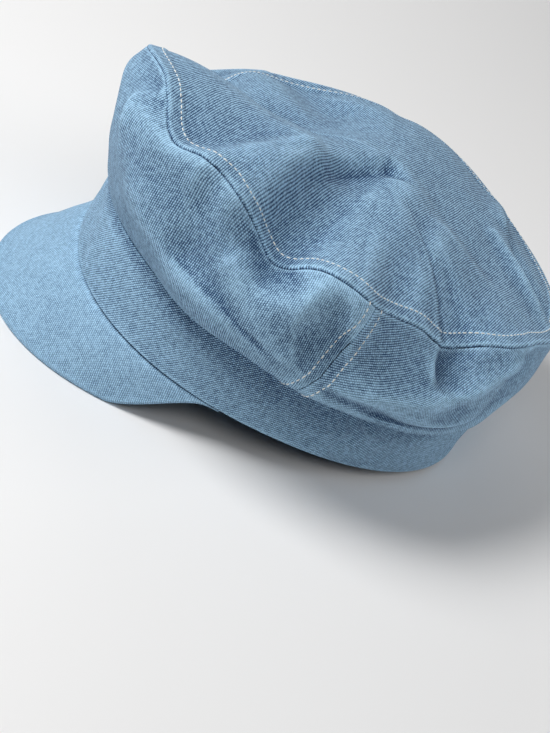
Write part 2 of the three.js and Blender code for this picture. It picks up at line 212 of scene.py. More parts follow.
# Small unevenness of the cloth: wavelength and height of each set of ripples
CROWN_RIPPLES = ((46.0, 0.45), (21.0, 0.16))
BAND_RIPPLES = ((38.0, 0.35), (15.0, 0.10))
PEAK_RIPPLES = ((42.0, 0.20), (14.0, 0.06))
RIPPLE_SEED = 4
RIPPLE_WAVES = 7
RIPPLE_SPREAD = (0.75, 1.4)

# Distances over which the ripples and the side strips fade out towards an edge
TOP_SEAM_CALM = 12.0
SIDE_SEAM_CALM = 10.0
FOOT_CALM = 8.0
STRIP_FOOT = 6.0
BAND_FOOT_CALM = 7.0
BAND_HEAD_CALM = 6.0
PEAK_CALM = 8.0

# Grids, in millimetres, degrees and shares
CROWN_AZIMUTH_STEP = 0.75
BAND_AZIMUTH_STEP = 1.0
EDGE_DISTANCES = (0.0, 0.2, 0.45, 0.75, 1.1, 1.6, 2.3, 3.2, 4.3, 5.4, 6.0, 6.5, 7.0, 7.8, 9.0)
END_STEPS = (0.0, 0.1, 0.22, 0.36, 0.55, 0.8)
END_CLEAR = 1.1
SEAM_PROBE = 0.2
AT_SEAM = 1e-6
MITRE_CLEAR = 2.2
SIDE_MM_PER_SHARE = 92.0
TOP_MM_PER_SHARE = 105.0
SIDE_GRID_STEP = 1.3
TOP_GRID_STEP = 1.8
BAND_FOOT_ROWS = (0.0, 0.15, 0.4, 0.8, 1.3, 2.0, 3.0)
BAND_HEAD_ROWS = (1.2, 0.5, 0.0)
BAND_PLAIN = (4.2, BAND_HEIGHT - 2)
BAND_PLAIN_ROWS = 16
PEAK_ACROSS_STEPS = 150
PEAK_ALONG_STEPS = 26
EDGE_ARC_STEPS = 6
SIDE_STITCH_ROWS = slice(4, -3)
FLOOR_HALF = 4.0

# Peak: how it thins towards its ends, the pinch at the band and the wear of its edge
PEAK_THIN_HALF = 0.5
PEAK_THIN_GROWTH = 0.3
PEAK_LEAST_SHRINK = 0.35
PEAK_PINCH_REACH = 4.0
PEAK_EDGE_WEAR = 0.6
PEAK_EDGE_WEAR_REACH = 1.5

# Flat patterns: the slope of the peak's cone in degrees, and the scale of the side's pattern and the rows
# over which it is evened
PEAK_CONE_SLOPE = 35.0
SIDE_PATTERN_MM_PER_DEGREE = 2.0
PATTERN_EVEN_ROWS = 9

# Each cloth: the direction of its twill on its pattern in degrees, the strength of the wear and painted
# groove shade along the seams, the contrast of its weave and how pale it is
CLOTHS = rows_of(("name", "grain", "top_seam", "side_seam", "contrast", "pale"), (
    ("Denim of the top", 150, 0.30, 0, 1, 0),
    ("Reverse of the top", 240, 0, 0, 0.6, 0.3),
    ("Denim of the side front", 93, 0.28, 0.28, 1, 0),
    ("Reverse of the side front", 183, 0, 0, 0.6, 0.3),
    ("Denim of the side back", 23, 0.28, 0.28, 1, 0),
    ("Reverse of the side back", 113, 0, 0, 0.6, 0.3),
    ("Denim of the band", 50, 0.2, 0, 1, 0.1),
    ("Reverse of the band", 50, 0, 0, 0.8, 0),
    ("Denim of the peak", 150, 0.25, 0, 0.75, 0.16),
))
CLOTH_SHINE = {"Sheen Weight": 0.06, "Sheen Roughness": 0.5, "Specular IOR Level": 0.18}

# Twill: how its lines wander, as scale and reach of a noise, and its yarn segments in pitches
DRIFT = (0.045, 1.4)
JITTER = (1.0, 0.30)
SEGMENT_LENGTH = 1.1
SEGMENT_STAGGER = 0.37
BEAD_DEPTH = 0.68
BEAD_FLOOR = 0.38
MIDDLE_HEIGHT = 0.375
YARN_ANGLE = 50.0
YARN_STRETCH = (0.09, 1.5, 1.0)

# Twill: scales of its noises for each millimetre, and how much each one shades the cloth
CHANCE_WEIGHT = 0.30
STREAK_WEIGHT = 0.16
MOTTLE_SCALE = 0.34
MOTTLE_GRAIN = {"detail": 3.0, "roughness": 0.6}
MOTTLE_WEIGHT = 0.09
CLOUD_SCALE = 0.055
CLOUD_WEIGHT = 0.16
CLEAR_SCALE = 0.5
CLEAR_NOISE = (0.35, 0.65)
CLEAR_WEAVE = (0.6, 1.15)
FUZZ_SCALE = 2.4
FUZZ_HEIGHT = 0.35
CLOTH_ROUGHNESS = 0.82
PALE_ROUGHNESS = 0.12

# Wear and painted groove shade along a seam, in millimetres from it
SEAM_SHADED_GROOVE = 1.2
SEAM_RUBBED_TO = 3.0
PATCH_SCALE = 0.12
PATCH_NOISE = (0.35, 0.7)

# Thread: scales of its noises for each metre, its darkest tone, and the stitches' tips and spread of sizes
THREAD_TONE_SCALE = 900.0
THREAD_PLY_SCALE = 4000.0
THREAD_PLY_DEPTH = 0.0001
THREAD_PLY_STRENGTH = 0.6
THREAD_DARK = 0.72
THREAD_SHINE = {"Roughness": 0.6, "Sheen Weight": 0.1}
STITCH_SIDES = 8
STITCH_TIP = 0.55
STITCH_SPREAD = (0.88, 1.1)
STITCH_SEED = 7

# Camera, at the photograph's angle to the cap, in millimetres from the floor under the band's middle
CAMERA_PLACE = (669.5, -166.3, 460.3)
CAMERA_TARGET = (36.7, -0.7, 17.4)
CAMERA_ROLL = 25.45
CAMERA_LENS = 85.0
CAMERA_SENSOR = 36.0

# Soft lights round the cap: place in metres and share of the power
SOFT_LIGHTS = (
    ("light_front", (0.0, -0.73, 0.96), 1.50),
    ("light_back", (0.05, 1.09, 0.42), 0.50),
    ("light_far", (-1.09, -0.10, 0.42), 0.30),
    ("light_near", (0.78, -0.05, 0.92), 0.29),
)
LIGHT_TARGET = (0.0, 0.0, 0.07)
LIGHT_SIZE = 0.6
SURROUND_COLOUR = (0.93, 0.95, 1.0, 1)
FLOOR_SHINE = {"Roughness": 0.7, "Specular IOR Level": 0.2}


def smooth_step(share):
    t = np.clip(share, 0.0, 1.0)
    return t * t * (3 - 2 * t)


def hermite(start, end, leave, arrive, t):
    """One stretch of a smooth curve between two values with the slopes at its ends."""
    t2, t3 = t * t, t * t * t
    return (start * (2 * t3 - 3 * t2 + 1) + end * (3 * t2 - 2 * t3)
            + leave * (t3 - 2 * t2 + t) + arrive * (t3 - t2))


def around(rows, name):
    """A smooth closed curve through one column of a table whose rows stand at growing azimuths."""
    azimuth = np.array([row["azimuth"] for row in rows], float)
    place = np.concatenate([azimuth - 360, azimuth, azimuth + 360])
    height = np.tile(np.array([row[name] for row in rows], float), 3)
    slope = np.zeros_like(place)
    slope[1:-1] = (height[2:] - height[:-2]) / (place[2:] - place[:-2])

    def at(angle):
        turned = np.mod(angle, 360.0)
        k = np.searchsorted(place, turned, side="right") - 1
        width = place[k + 1] - place[k]
        t = (turned - place[k]) / width
        return hermite(height[k], height[k + 1], width * slope[k], width * slope[k + 1], t)

    return at


fold_out = around(SECTIONS, "fold_out")
fold_up = around(SECTIONS, "fold_up")
bulge_out = around(SECTIONS, "bulge_out")
bulge_up = around(SECTIONS, "bulge_up")
seam_out = around(SEAM, "out")
seam_up = around(SEAM, "up")


def rim_radius(azimuth):
    angle = np.radians(azimuth)
    across = np.abs(np.sin(angle) / RIM_HALF_WIDTH) ** RIM_POWER
    along = np.abs(np.cos(angle) / RIM_HALF_LENGTH) ** RIM_POWER
    return (across + along) ** (-1 / RIM_POWER)


def ring_point(azimuth, out, up):
    angle = np.radians(azimuth)
    radius = rim_radius(azimuth) + out
    return np.stack(np.broadcast_arrays(np.sin(angle) * radius, -np.cos(angle) * radius, up), -1)


def fold_rise(fold, x, y, start, end):
    """How far a fold lifts the cloth at a point of a flat pattern."""
    length = math.hypot(end[0] - start[0], end[1] - start[1])
    along_x, along_y = (end[0] - start[0]) / length, (end[1] - start[1]) / length
    travel = (x - start[0]) * along_x + (y - start[1]) * along_y
    t = np.clip(travel / length, 0, 1)
    beyond = travel - t * length
    aside = (y - start[1]) * along_x - (x - start[0]) * along_y - fold["bow"] * 4 * t * (1 - t)
    half = np.where(aside > 0, fold["over"], fold["under"])
    return fold["rise"] * np.exp(-((aside / half) ** 2) - (beyond / fold["over"]) ** 2)


def on_pattern(azimuth, share):
    """A place on the crown's side in millimetres of its flat pattern."""
    return azimuth * SIDE_FOLD_MM_PER_DEGREE, share * SIDE_FOLD_MM_PER_SHARE


def side_fold_rise(azimuth, share):
    rise = 0.0
    for fold in SIDE_FOLDS:
        middle = (fold["from_azimuth"] + fold["to_azimuth"]) / 2
        turned = azimuth - 360 * np.round((azimuth - middle) / 360)
        start = on_pattern(fold["from_azimuth"], fold["from_share"])
        end = on_pattern(fold["to_azimuth"], fold["to_share"])
        rise = rise + fold_rise(fold, *on_pattern(turned, share), start, end)
    return rise * smooth_step(share / SIDE_FOLD_START)


def top_fold_rise(x, y):
    return sum(fold_rise(fold, x, y, (fold["from_x"], fold["from_y"]), (fold["to_x"], fold["to_y"]))
               for fold in TOP_FOLDS)


def aimed(first, second, weight):
    """The direction between two, as a pair of unit length."""
    out = first[0] * (1 - weight) + second[0] * weight
    up = first[1] * (1 - weight) + second[1] * weight
    length = np.hypot(out, up)
    return out / length, up / length


def profile(azimuth, share):
    """Distance outside the rim and height of the crown's side, share 0 on the band and 1 at the seam."""
    azimuth, share = np.broadcast_arrays(np.asarray(azimuth, float), np.asarray(share, float))
    base = (np.full_like(azimuth, -CROWN_INSET), np.full_like(azimuth, BAND_HEIGHT + CROWN_LIFT))
    knots = (base, (fold_out(azimuth), fold_up(azimuth)), (bulge_out(azimuth), bulge_up(azimuth)),
             (seam_out(azimuth), seam_up(azimuth)))
    chords = [tuple(b - a for a, b in zip(knots[k], knots[k + 1])) for k in range(3)]
    level = (np.ones_like(azimuth), np.zeros_like(azimuth))
    ways = (level, aimed(chords[0], chords[1], 0.5), aimed(chords[1], chords[2], 0.5),
            aimed(chords[2], aimed(chords[2], level, SEAM_TURN), 0.5))
    shares = (0.0, FOLD_SHARE, BULGE_SHARE, 1.0)
    stretch = np.clip(np.searchsorted(shares, share, side="left") - 1, 0, 2)
    values = [np.zeros_like(share), np.zeros_like(share)]
    for k in range(3):
        here = stretch == k
        t = (share - shares[k]) / (shares[k + 1] - shares[k])
        reach = np.hypot(*chords[k])
        for axis in (0, 1):
            curve = hermite(knots[k][axis], knots[k + 1][axis], ways[k][axis] * reach,
                            ways[k + 1][axis] * reach, t)
            values[axis][here] = curve[here]
    return values


def side_point(azimuth, share):
    out, up = profile(azimuth, share)
    low = profile(azimuth, np.maximum(share - PROBE, 0))
    high = profile(azimuth, np.minimum(share + PROBE, 1))
    d_out, d_up = high[0] - low[0], high[1] - low[1]
    rise = side_fold_rise(azimuth, share) / np.hypot(d_out, d_up)
    return ring_point(azimuth, out + rise * d_up, up - rise * d_out)


def top_point(azimuth, share):
    """Outer surface of the top panel, share 1 at the seam and 0 in the middle."""
    edge = side_point(azimuth, np.ones_like(azimuth))
    x = TOP_MIDDLE[0] + (edge[..., 0] - TOP_MIDDLE[0]) * share
    y = TOP_MIDDLE[1] + (edge[..., 1] - TOP_MIDDLE[1]) * share
    wave = edge[..., 2] - TOP_MIDDLE[2] - TOP_SLOPE * edge[..., 1] - TOP_LEAN * edge[..., 0]
    folds = top_fold_rise(x, y) * (1 - share ** TOP_FOLD_EDGE_POWER)
    z = (TOP_MIDDLE[2] + TOP_SLOPE * y + TOP_LEAN * x + TOP_DOME * (1 - share * share)
         + wave * share ** SEAM_WAVE_POWER + folds)
    return np.stack([x, y, z], -1)


def floor_up(y):
    """Height of the floor in the cap's own frame."""
    return (y * math.sin(REST_TILT) - FLOOR_LIFT) / math.cos(REST_TILT)


# Where the cap's axis stands in the frame: the band's solid is centred on it and says how far
BAND_LOW, BAND_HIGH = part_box("band")
SHIFT_X = (BAND_LOW[0] + BAND_HIGH[0]) / 2 / MM
SHIFT_Y = BAND_HIGH[1] / MM - RIM_HALF_LENGTH * math.cos(REST_TILT) - BAND_HEIGHT * math.sin(REST_TILT)


def tilted(vectors):
    """Vectors of the cap's own frame as they stand once the cap rests on the floor."""
    x, y, z = vectors[..., 0], vectors[..., 1], vectors[..., 2]
    sine, cosine = math.sin(REST_TILT), math.cos(REST_TILT)
    return np.stack([x, y * cosine + z * sine, z * cosine - y * sine], -1)


def to_frame(points):
    """From millimetres in the cap's own frame to metres in the frame of the solids."""
    return (tilted(points) + (SHIFT_X, SHIFT_Y, FLOOR_LIFT)) * MM


def unit(vectors):
    return vectors / np.maximum(np.linalg.norm(vectors, axis=-1, keepdims=True), 1e-9)


def grid_normals(grid, wrap):
    """Normals of a grid of points whose rows go round the cap and whose columns go up or inwards."""
    if wrap:
        round_step = np.roll(grid, -1, 0) - np.roll(grid, 1, 0)
    else:
        round_step = np.gradient(grid, axis=0)
    across_step = np.gradient(grid, axis=1)
    return unit(np.cross(round_step, across_step))


def ripples(points, sets):
    """Gentle unevenness at each point, the sum of a few waves in seeded directions."""
    chance = np.random.default_rng(RIPPLE_SEED)
    total = np.zeros(points.shape[:-1])
    for wavelength, height in sets:
        for _ in range(RIPPLE_WAVES):
            direction = unit(chance.normal(size=3))
            phase = chance.uniform(0, 2 * math.pi)
            pitch = wavelength * chance.uniform(*RIPPLE_SPREAD)
            wave = np.sin(2 * math.pi * (points @ direction) / pitch + phase)
            total += height * wave / math.sqrt(RIPPLE_WAVES / 2)
    return total


def rolled_edge(distance, radius=ROLL_RADIUS):
    """How far a turned edge has sunk at a distance from the seam."""
    left = np.clip(1 - distance / radius, 0, 1)
    return -radius * (1 - np.sqrt(1 - left * left))


def raised_strip(distance, width, height):
    """Extra height over the turned-in cloth beside a seam."""
    return height * (1 - smooth_step((distance - width) / STRIP_EASE))


def run_lengths(grid, axis):
    """Distance run along one axis of a grid, from its first row or column."""
    step = np.linalg.norm(np.diff(grid, axis=axis), axis=-1)
    zero = np.zeros_like(np.take(step, [0], axis=axis))
    return np.concatenate([zero, np.cumsum(step, axis=axis)], axis=axis)


def edge_spaced(mm_per_share, step):
    """Shares from 0 to 1 in even steps, with the rows beside the seam at 1 placed closely."""
    near = 1 - np.array(EDGE_DISTANCES[::-1]) / mm_per_share
    count = max(2, round(near[0] * mm_per_share / step))
    return np.concatenate([np.linspace(0, near[0], count, endpoint=False), near])


def evened(values, reach):
    """Values averaged with their neighbours along the first axis, so a pattern runs calmly over folds."""
    for _ in range(2):
        padded = np.concatenate([values[:1]] * reach + [values] + [values[-1:]] * reach)
        total = np.cumsum(np.concatenate([np.zeros_like(values[:1]), padded]), axis=0)
        values = (total[2 * reach + 1:] - total[:-2 * reach - 1]) / (2 * reach + 1)
    return values


def wear_and_shade_of(grid, normals, wrap, reach=WEAR_AND_SHADE_REACH, gain=WEAR_AND_SHADE_GAIN):
    """How far each point stands out of its surroundings, from -1 in a hollow to 1 on a ridge."""
    total = np.zeros(grid.shape[:2])
    for axis in (0, 1):
        index = np.arange(grid.shape[axis])
        mode = "wrap" if axis == 0 and wrap else "clip"
        before = np.take(grid, index - reach, axis=axis, mode=mode)
        after = np.take(grid, index + reach, axis=axis, mode=mode)
        span = np.maximum(np.linalg.norm(after - before, axis=-1), WEAR_AND_SHADE_LEAST_SPAN)
        total += ((2 * grid - before - after) * normals).sum(-1) / span ** 2
    return np.clip(total * gain, -1, 1)


def crown_wear_and_shade(outer, base, normals, wrap):
    """Wear and painted shade of a crown panel: its sharp ridges and creases, and its broad humps and hollows.
    """
    broad = wear_and_shade_of(base, normals, wrap, BROAD_WEAR_AND_SHADE_REACH, BROAD_WEAR_AND_SHADE_GAIN)
    return wear_and_shade_of(outer, normals, wrap) + broad - BROAD_WEAR_AND_SHADE_MIDDLE


def on_grid(surface, azimuths, shares):
    """Points of a surface on a grid of azimuths and shares."""
    return surface(*np.meshgrid(azimuths, shares, indexing="ij"))


def paired(first, second):
    """Two grids as the two coordinates of a UV map."""
    return np.stack(np.broadcast_arrays(first, second), -1)


def wrapped(values):
    """The first row once more after the last, for a UV map that closes round the cap."""
    return np.concatenate([values, values[:1]])


def linked(name, data):
    """A new object that holds some data, in the scene."""
    made = bpy.data.objects.new(name, data)
    bpy.context.scene.collection.objects.link(made)
    return made


def skin_mesh(name, points, faces, corners, maps, wear_and_shade):
    """A smooth mesh from points in the cap's own frame; each face corner's row and column find its UVs."""
    mesh = bpy.data.meshes.new(name)
    mesh.from_pydata(to_frame(points).tolist(), [], faces)
    mesh.polygons.foreach_set("use_smooth", [True] * len(faces))
    rows, columns = np.array(corners).T
    for map_name, values in maps.items():
        layer = mesh.uv_layers.new(name=map_name)
        layer.data.foreach_set("uv", values[rows, columns].astype(np.float32).ravel())
    # Per-point wear on ridges and painted shade in hollows, which the cloth's shader reads
    mark = mesh.attributes.new("wear_and_shade", "FLOAT", "POINT")
    mark.data.foreach_set("value", wear_and_shade.astype(np.float32))
    return mesh


def wall_piece(name, outer, inner, maps, wear_and_shade, cloths, wrap=False, pole=False):
    """A closed cloth wall between an outer and an inner grid, its inner faces in the second cloth.

    Where the wall wraps round, its maps have one more row than its grids. A pole is a last column that
    is one point.
    """
    rows, columns = outer.shape[:2]
    last = columns - 1
    faces, corners, kinds = [], [], []

    def vertex(face, i, j):
        row = 0 if pole and j == last else i % rows
        return (face * rows + row) * columns + j

    def add(kind, *marks):
        loop = [(vertex(face, i, j), i, j) for face, i, j in marks]
        kept = [corner for k, corner in enumerate(loop) if corner[0] != loop[k - 1][0]]
        if len(kept) > 2:
            faces.append([corner[0] for corner in kept])
            corners.extend(corner[1:] for corner in kept)
            kinds.append(kind)

    for i in range(rows if wrap else rows - 1):
        for j in range(last):
            add(0, (0, i, j), (0, i + 1, j), (0, i + 1, j + 1), (0, i, j + 1))
            add(1, (1, i, j), (1, i, j + 1), (1, i + 1, j + 1), (1, i + 1, j))
        add(0, (1, i, 0), (1, i + 1, 0), (0, i + 1, 0), (0, i, 0))
        if not pole:
            add(0, (0, i, last), (0, i + 1, last), (1, i + 1, last), (1, i, last))
    if not wrap:
        for j in range(last):
            add(0, (1, 0, j), (0, 0, j), (0, 0, j + 1), (1, 0, j + 1))
            add(0, (0, rows - 1, j), (1, rows - 1, j), (1, rows - 1, j + 1), (0, rows - 1, j + 1))

    points = np.concatenate([outer.reshape(-1, 3), inner.reshape(-1, 3)])
    mesh = skin_mesh(name, points, faces, corners, maps, np.tile(wear_and_shade.ravel(), 2))
    mesh.polygons.foreach_set("material_index", kinds)
    drop_loose_points(mesh)
    mesh.validate()
    for cloth in cloths:
        mesh.materials.append(cloth)
    return linked(name, mesh)


def drop_loose_points(mesh):
    """Remove the copies of the pole's point that no face uses."""
    edit = bmesh.new()
    edit.from_mesh(mesh)
    loose = [vertex for vertex in edit.verts if not vertex.link_faces]
    bmesh.ops.delete(edit, geom=loose, context="VERTS")
    edit.to_mesh(mesh)
    edit.free()


# Crown

def seam_mitre(azimuths):
    """At each azimuth of the top seam: the way into the wall, and from the side to the top panel."""
    near = (1 - 2 * PROBE, 1 - PROBE, 1.0)
    turns = (-SEAM_PROBE, 0.0, SEAM_PROBE)
    side, top = (np.stack([on_grid(surface, azimuths + turn, near) for turn in turns])
                 for surface in (side_point, top_point))
    along = unit(side[2, :, 2] - side[0, :, 2])
    side_normal = unit(np.cross(along, side[1, :, 2] - side[1, :, 1]))
    top_normal = unit(np.cross(along, top[1, :, 1] - top[1, :, 2]))
    facing = (side_normal * top_normal).sum(-1, keepdims=True)
    depth = (side_normal + top_normal) * CROWN_WALL / (1 + facing)
    apart = unit(np.cross(side_normal + top_normal, along)) * GAP / 2
    return depth, apart


def inner_wall(base, normals, distance, mitre_points):
    """Inner surface of a crown panel: its rows beside the seam run evenly to the mitre."""
    inner = base - normals * CROWN_WALL
    clear = int(np.where(distance[0] > MITRE_CLEAR * CROWN_WALL)[0][-1])
    steps = np.linspace(0, 1, base.shape[1] - clear)[None, :, None]
    inner[:, clear:] = inner[:, clear:clear + 1] * (1 - steps) + mitre_points[:, None] * steps
    return inner


def crown_panel_top(cloths):
    """The top panel, with the outer grid, normals and distances from the seam that its stitches need."""
    azimuths = np.arange(0, 360, CROWN_AZIMUTH_STEP)
    base = on_grid(top_point, azimuths, edge_spaced(TOP_MM_PER_SHARE, TOP_GRID_STEP))
    normals = -grid_normals(base, wrap=True)
    normals[:, 0] = unit(normals[:, 1].mean(0))
    run = run_lengths(base, 1)
    distance = run[:, -1:] - run
    depth, apart = seam_mitre(azimuths)
    rise = (rolled_edge(distance) + raised_strip(distance, TOP_STRIP_WIDTH, TOP_STRIP_RAISE)
            + ripples(base, CROWN_RIPPLES) * smooth_step(distance / TOP_SEAM_CALM))
    rise[:, 0] = rise[:, 0].mean()
    outer = base + normals * rise[..., None] + apart[:, None] * (distance < AT_SEAM)[..., None]
    inner = inner_wall(base, normals, distance, base[:, -1] - depth + apart)
    wear_and_shade = crown_wear_and_shade(outer, base, normals, wrap=True)
    seam_run = run_lengths(wrapped(base[:, -1:]), 0)
    maps = {"cloth": wrapped(base[..., :2]), "top_seam": paired(seam_run, wrapped(distance))}
    flipped = {name: grid[:, ::-1] for name, grid in maps.items()}
    piece = wall_piece("crown_top", outer[:, ::-1], inner[:, ::-1], flipped, wear_and_shade[:, ::-1], cloths,
                       wrap=True, pole=True)
    return piece, outer, normals, distance


def crown_panel_side(name, first, last, cloths):
    """A side panel, with the outer grid, normals and runs round the cap that its stitches need."""
    ends = np.array(END_STEPS)
    count = round((last - first - 2 * END_CLEAR) / CROWN_AZIMUTH_STEP)
    plain = np.linspace(first + END_CLEAR, last - END_CLEAR, count + 1)
    azimuths = np.concatenate([first + ends, plain, last - ends[::-1]])
    shares = edge_spaced(SIDE_MM_PER_SHARE, SIDE_GRID_STEP)
    azimuth, share = np.meshgrid(azimuths, shares, indexing="ij")
    leaned = azimuth - SIDE_SEAM_LEAN * np.sin(np.radians(azimuth)) * (1 - share)
    base = side_point(leaned, share)
    normals = grid_normals(base, wrap=False)
    run = run_lengths(base, 1)
    top_distance = run[:, -1:] - run
    turn = run_lengths(base, 0)
    end_distance = np.minimum(turn, turn[-1:] - turn)
    depth, apart = seam_mitre(azimuths)
    strip = raised_strip(end_distance, SIDE_STRIP_WIDTH, SIDE_STRIP_RAISE)
    roll = np.minimum(rolled_edge(top_distance), rolled_edge(end_distance, SIDE_ROLL))
    seam_distance = np.minimum(top_distance, end_distance)
    calm = smooth_step(seam_distance / SIDE_SEAM_CALM) * smooth_step(run / FOOT_CALM)
    rise = roll + strip * smooth_step(run / STRIP_FOOT) + ripples(base, CROWN_RIPPLES) * calm
    across = np.zeros_like(base)
    for row, way in ((0, 1), (-1, -1)):
        across[row] = unit(np.cross(np.gradient(base[row], axis=0), normals[row])) * way * GAP / 2
    outer = base + normals * rise[..., None] - apart[:, None] * (top_distance < AT_SEAM)[..., None] + across
    inner = inner_wall(base, normals, top_distance, base[:, -1] - depth - apart) + across
    maps = {"cloth": paired(leaned * SIDE_PATTERN_MM_PER_DEGREE, evened(run, PATTERN_EVEN_ROWS)),
            "top_seam": paired(run_lengths(base[:, -1:], 0), top_distance),
            "side_seam": paired(run, end_distance)}
    # Wear and painted shade fade out towards the crown's lower edge
    edge_calm = smooth_step((share - FOLD_SHARE) / EDGE_WEAR_AND_SHADE_SHARE)
    wear_and_shade = crown_wear_and_shade(outer, base, normals, wrap=False) * edge_calm
    return wall_piece(name, outer, inner, maps, wear_and_shade, cloths), outer, normals, turn


# Band and peak

def round_arc(first, second, reach, steps):
    """Points of a round edge from one line of points to another, reaching out between them."""
    middle = (first + second) / 2
    half = (first - second) / 2
    angles = np.linspace(0, math.pi, steps + 1)[1:-1]
    return np.stack([middle + half * math.cos(a) + reach * math.sin(a) for a in angles], 1)


def band_wall(cloths):
    azimuths = np.arange(0, 360, BAND_AZIMUTH_STEP)
    heights = np.concatenate([BAND_FOOT_ROWS, np.linspace(*BAND_PLAIN, BAND_PLAIN_ROWS),
                              BAND_HEIGHT - np.array(BAND_HEAD_ROWS)])
    azimuth, height = np.meshgrid(azimuths, heights, indexing="ij")

    def surface(out):
        points = ring_point(azimuth, out, height)
        floor = np.maximum(floor_up(points[..., 1]), 0)
        points[..., 2] = floor + height * (BAND_HEIGHT - floor) / BAND_HEIGHT
        return points

    base = surface(0.0)
    normals = grid_normals(base, wrap=True)
    from_head = BAND_HEIGHT - height
    calm = smooth_step(height / BAND_FOOT_CALM) * smooth_step(from_head / BAND_HEAD_CALM)
    rise = rolled_edge(height, BAND_ROLL) + rolled_edge(from_head, BAND_ROLL)
    rise = rise + ripples(base, BAND_RIPPLES) * calm
    outer = base + normals * rise[..., None]
    inner = surface(-BAND_WALL) - normals * rolled_edge(height, BAND_ROLL)[..., None]
    pattern = paired(run_lengths(wrapped(base[:, -1:]), 0), wrapped(height))
    # Painted shadow: the band's colour is darkened below its top, as far down as the crown's overhang reaches
    overhang = fold_out(azimuth)
    below_painted_shadow = from_head - PAINTED_SHADOW_DEPTH * overhang
    painted_shadow = PAINTED_SHADOW_DARK * (1 - smooth_step(below_painted_shadow / (PAINTED_SHADOW_FADE * overhang + PAINTED_SHADOW_FADE_LEAST)))
    wear_and_shade = wear_and_shade_of(outer, normals, wrap=True) - painted_shadow
    maps = {"cloth": pattern, "top_seam": pattern}
    return wall_piece("band_cloth", outer, inner, maps, wear_and_shade, cloths, wrap=True)


def peak_surface(side, share):
    """Upper surface of the peak, side from -1 to 1 across it and share 0 at the band to 1 at the edge."""
    azimuth = side * PEAK_HALF_ANGLE
    reach = PEAK_REACH * (1 - side * side) ** PEAK_POWER
    edge = ring_point(azimuth, reach, 0.0)
    on_floor = smooth_step((1 - np.abs(side)) / (1 - PEAK_FLOOR_SHARE))
    drop = np.minimum(floor_up(edge[..., 1]) * on_floor, -GAP - PEAK_END_DROP)
    up = -GAP + (drop + GAP) * share
    return ring_point(azimuth, reach * share, up)


def cone_pattern(azimuth, down):
    """The peak's flat pattern: a ring cut open, from its azimuth and the way down from the band."""
    slope = math.cos(math.radians(PEAK_CONE_SLOPE))
    radius = rim_radius(azimuth) / slope + down
    turned = np.radians(azimuth) * slope
    return paired(radius * np.sin(turned), -radius * np.cos(turned))


def peak_piece(cloth):
    """The peak as one closed skin: lower cloth, round edge and upper cloth."""
    sides = np.linspace(-1, 1, PEAK_ACROSS_STEPS + 1)
    shares = np.linspace(0, 1, PEAK_ALONG_STEPS + 1)
    side, share = np.meshgrid(sides, shares, indexing="ij")
    base = peak_surface(side, share)
    length = run_lengths(base, 1)[:, -1:]
    half = np.minimum(PEAK_WALL / 2, PEAK_THIN_HALF + PEAK_THIN_GROWTH * length)
    shrink = np.clip(1 - half / length, PEAK_LEAST_SHRINK, 1)
    skin = peak_surface(side, share * shrink)
    normals = -grid_normals(skin, wrap=False)
    run = run_lengths(skin, 1)
    middle = skin - normals * half[..., None]
    azimuth = side[:, 0] * PEAK_HALF_ANGLE
    middle[:, 0] -= ring_point(azimuth, PEAK_TUCK - rim_radius(azimuth), 0.0)
    outward = unit(skin[:, -1] - skin[:, -2])
    floor = floor_up(middle[..., 1]) + half + PEAK_FLOOR_CLEAR
    middle[..., 2] = np.maximum(middle[..., 2], floor)
    calm = smooth_step(run / PEAK_CALM) * smooth_step((run[:, -1:] - run) / PEAK_CALM)
    pinch = PEAK_EDGE_PINCH * (1 - smooth_step(run / PEAK_PINCH_REACH))
    rise = ripples(middle, PEAK_RIPPLES) * calm - pinch
    upper = middle + normals * (half + rise)[..., None]
    lower = middle - normals * half[..., None]
    arc = round_arc(upper[:, -1], lower[:, -1], outward * half, EDGE_ARC_STEPS)
    loop = np.concatenate([lower, arc[:, ::-1], upper[:, ::-1]], 1)
    arc_run = run[:, -1:] + np.linspace(1, 0, arc.shape[1] + 2)[None, 1:-1] * PEAK_WALL
    down = np.concatenate([run, arc_run[:, ::-1], run[:, ::-1], run[:, :1] - PEAK_WALL], 1)
    across = (run_lengths(base[:, -1:], 0) + run_lengths(base[:, :1], 0)) / 2
    to_edge = np.maximum(run[:, -1:] - down, 0)
    wear_and_shade = PEAK_EDGE_WEAR * np.exp(-(to_edge / PEAK_EDGE_WEAR_REACH) ** 2)
    maps = {"cloth": cone_pattern(azimuth[:, None], down), "top_seam": paired(across, down)}
    return loop_piece("peak_cloth", loop, maps, wear_and_shade[:, :-1], cloth)


def loop_piece(name, loop, maps, wear_and_shade, cloth):
    """A closed skin from rows of points that each go once round the piece; its two ends are capped."""
    rows, columns = loop.shape[:2]
    faces, corners = [], []
    for i in range(rows - 1):
        for j in range(columns):
            k = (j + 1) % columns
            faces.append([i * columns + j, (i + 1) * columns + j, (i + 1) * columns + k, i * columns + k])
            corners.extend([(i, j), (i + 1, j), (i + 1, j + 1), (i, j + 1)])
    for i, order in ((0, 1), (rows - 1, -1)):
        ends = list(range(columns))[::order]
        faces.append([i * columns + j for j in ends])
        corners.extend((i, j) for j in ends)
    mesh = skin_mesh(name, loop.reshape(-1, 3), faces, corners, maps, wear_and_shade.ravel())
    mesh.materials.append(cloth)
    return linked(name, mesh)


# Shader and geometry trees

def feed(tree, socket, value):
    if isinstance(value, bpy.types.NodeSocket):
        tree.links.new(value, socket)
    else:
        socket.default_value = value


def put(tree, kind, inputs=(), **settings):
    """Add a node, with its settings and the values or links of its inputs, and give its outputs."""
    made = tree.nodes.new(kind)
    for name, value in settings.items():
        setattr(made, name, value)
    for key, value in dict(inputs).items():
        feed(tree, made.inputs[key], value)
    return made.outputs


